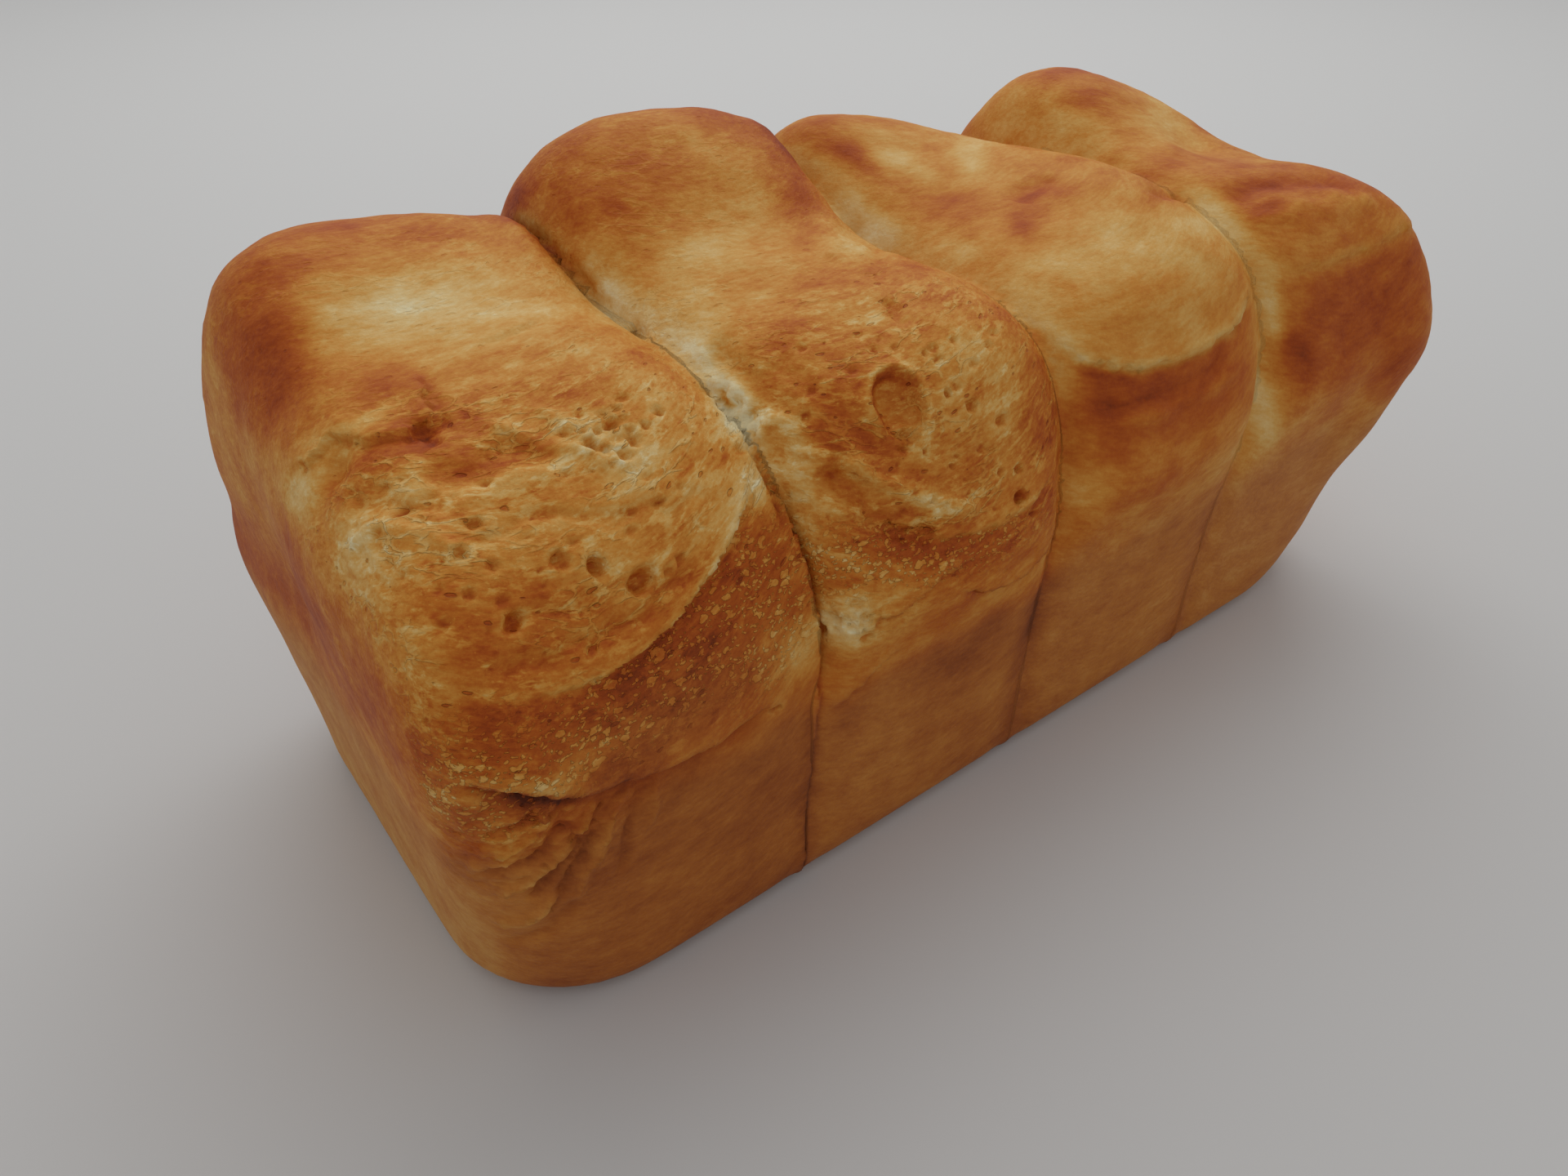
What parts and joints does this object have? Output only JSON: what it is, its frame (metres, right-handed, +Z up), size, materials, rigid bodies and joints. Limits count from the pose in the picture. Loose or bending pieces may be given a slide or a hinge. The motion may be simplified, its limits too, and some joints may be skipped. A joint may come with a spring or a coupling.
{
  "type": "tin loaf",
  "caption": "Loaf of white bread baked in a tin from separate pieces of dough, with a flat base, straight walls and rounded humps standing over the rim line.",
  "frame": {"origin": "middle of the flat base, under the middle of the loaf", "axes": "+Z up, +X along the loaf from its first piece of dough to its last, -Y towards the side where the dough was cut and lies lower"},
  "size_m": [0.2476, 0.1206, 0.1191],
  "materials": {
    "crust": "baked bread crust, golden brown, satin over the humps and matt on the walls"
  },
  "bodies": {
    "root": {"loaf": "crust"}
  },
  "joints": []
}
